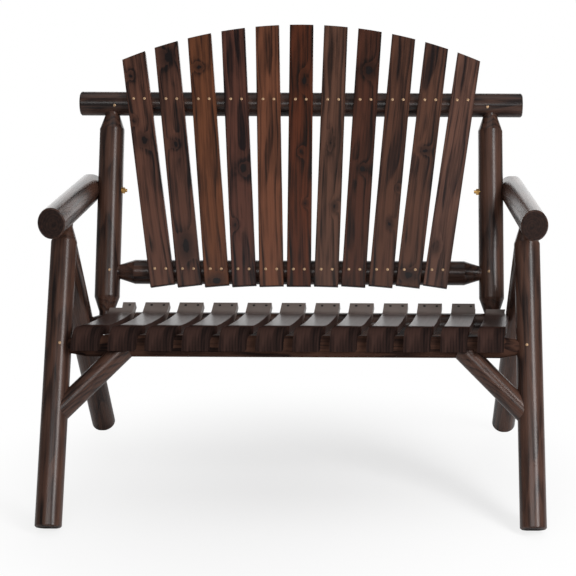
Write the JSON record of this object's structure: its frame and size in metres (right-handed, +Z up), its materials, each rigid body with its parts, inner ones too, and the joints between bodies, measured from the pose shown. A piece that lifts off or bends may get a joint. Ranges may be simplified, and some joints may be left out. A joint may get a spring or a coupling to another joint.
{
  "type": "rustic log bench",
  "caption": "Two-seat log garden bench with splayed log legs, log arms, a fanned arched slat back and curved seat slats.",
  "frame": {"origin": "on the floor, under the centre of the bench's bounding box", "axes": "+X to the right along the bench as seen by someone who faces its front, +Y from front to back, +Z up"},
  "size_m": [1.1084, 0.749, 1.0246],
  "materials": {
    "log_wood": "peeled fir log, burned dark and brushed, satin",
    "slat_wood": "planed fir board, burned brown with darker grain and knots, satin",
    "dark_screw": "dark coated screw",
    "bolt_metal": "yellow plated bolt, nut and washer"
  },
  "bodies": {
    "root": {"front_leg_left": "log_wood", "front_leg_right": "log_wood", "rear_leg_left": "log_wood", "rear_leg_right": "log_wood", "arm_left": "log_wood", "arm_right": "log_wood", "back_post_left": "log_wood", "back_post_right": "log_wood", "brace_left": "log_wood", "brace_right": "log_wood", "front_seat_rail": "log_wood", "rear_seat_rail": "log_wood", "lower_back_rail": "log_wood", "top_rail": "log_wood", "back_slat_01": "slat_wood", "back_slat_02": "slat_wood", "back_slat_03": "slat_wood", "back_slat_04": "slat_wood", "back_slat_05": "slat_wood", "back_slat_06": "slat_wood", "back_slat_07": "slat_wood", "back_slat_08": "slat_wood", "back_slat_09": "slat_wood", "back_slat_10": "slat_wood", "back_slat_11": "slat_wood", "seat_slat_01": "slat_wood", "seat_slat_02": "slat_wood", "seat_slat_03": "slat_wood", "seat_slat_04": "slat_wood", "seat_slat_05": "slat_wood", "seat_slat_06": "slat_wood", "seat_slat_07": "slat_wood", "seat_slat_08": "slat_wood", "seat_slat_09": "slat_wood", "seat_slat_10": "slat_wood", "seat_slat_11": "slat_wood", "seat_slat_12": "slat_wood", "leg_lag_screws": "dark_screw", "arm_bolts": "bolt_metal", "arm_washers": "bolt_metal", "arm_nuts": "bolt_metal"}
  },
  "joints": []
}
